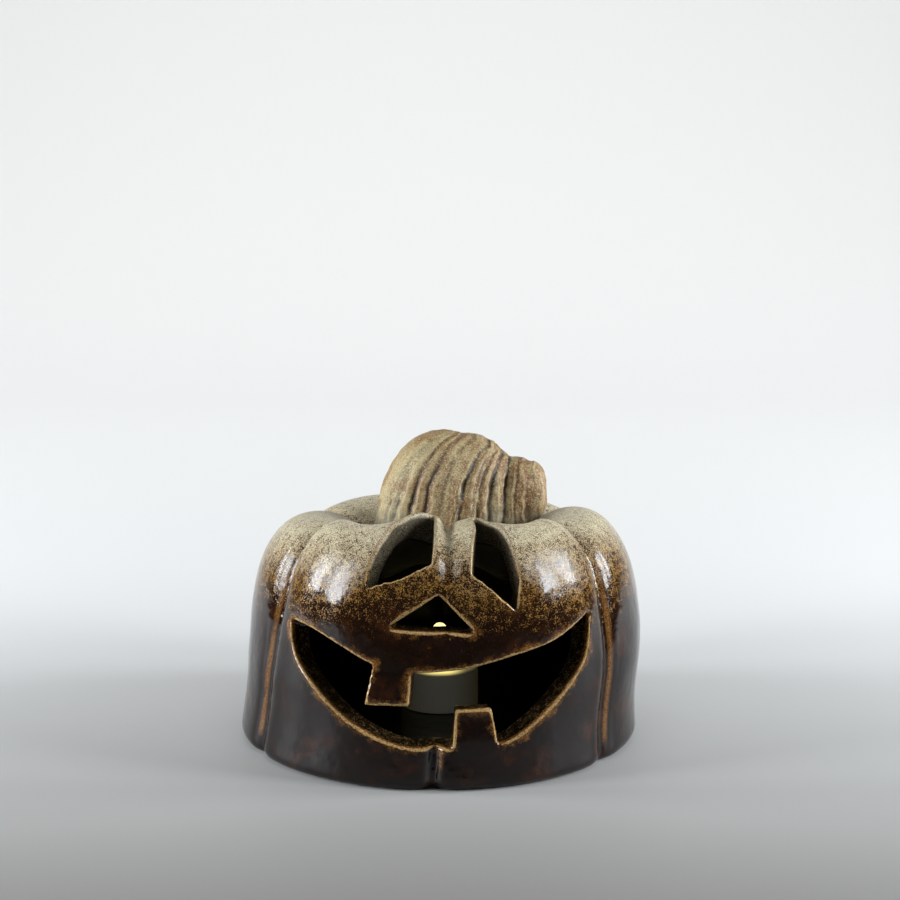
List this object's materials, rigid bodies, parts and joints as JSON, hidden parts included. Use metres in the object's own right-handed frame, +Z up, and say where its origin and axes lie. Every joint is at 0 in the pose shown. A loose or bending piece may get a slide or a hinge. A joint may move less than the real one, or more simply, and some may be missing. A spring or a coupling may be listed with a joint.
{
  "type": "ceramic jack-o'-lantern tealight holder",
  "caption": "Lobed stoneware pumpkin lantern with a carved smiling face, a twisted stem and a removable battery tealight inside.",
  "frame": {"origin": "on the surface that it stands on, at the middle of its footprint box", "axes": "+Z up, the carved face looks along -Y, +X is the viewer's right when facing it"},
  "size_m": [0.1968, 0.1932, 0.1491],
  "materials": {
    "brown_glaze": "glossy iron-brown stoneware glaze, breaking to golden tan at edges and to a sandy speckle on top",
    "ash_glaze": "matte ash glaze, cream and grey-green with brown in the grooves",
    "white_plastic": "satin moulded plastic",
    "flame_plastic": "translucent warm white plastic, lit from inside",
    "led_epoxy": "clear moulded epoxy",
    "bright_steel": "plated, bright",
    "grey_gasket": "moulded, matte",
    "black_plastic": "moulded, matte"
  },
  "bodies": {
    "lantern": {"pumpkin_shell": "brown_glaze", "twisted_stem": "ash_glaze"},
    "tealight": {"tealight_casing": "white_plastic", "flame_lens": "flame_plastic", "led_emitter": "led_epoxy", "led_anode_lead": "bright_steel", "led_cathode_lead": "bright_steel", "base_plate": "white_plastic", "coin_cell_can": "bright_steel", "coin_cell_gasket": "grey_gasket", "coin_cell_cap": "bright_steel", "positive_contact": "bright_steel", "negative_contact": "bright_steel"},
    "battery_cover": {"battery_cover": "white_plastic"},
    "switch": {"switch_knob": "black_plastic"}
  },
  "joints": [
    {"name": "tealight_lift", "type": "slide", "parent": "lantern", "child": "tealight", "axis": [0, 0, 1], "range_m": [0, 0.025]},
    {"name": "switch_slide", "type": "slide", "parent": "tealight", "child": "switch", "axis": [1, 0, 0], "range_m": [0, 0.003]},
    {"name": "cover_twist", "type": "hinge", "parent": "tealight", "child": "battery_cover", "pos_m": [-0.0005, 0.006, 0.0103], "axis": [0, 0, -1], "range_deg": [0, 40]}
  ]
}
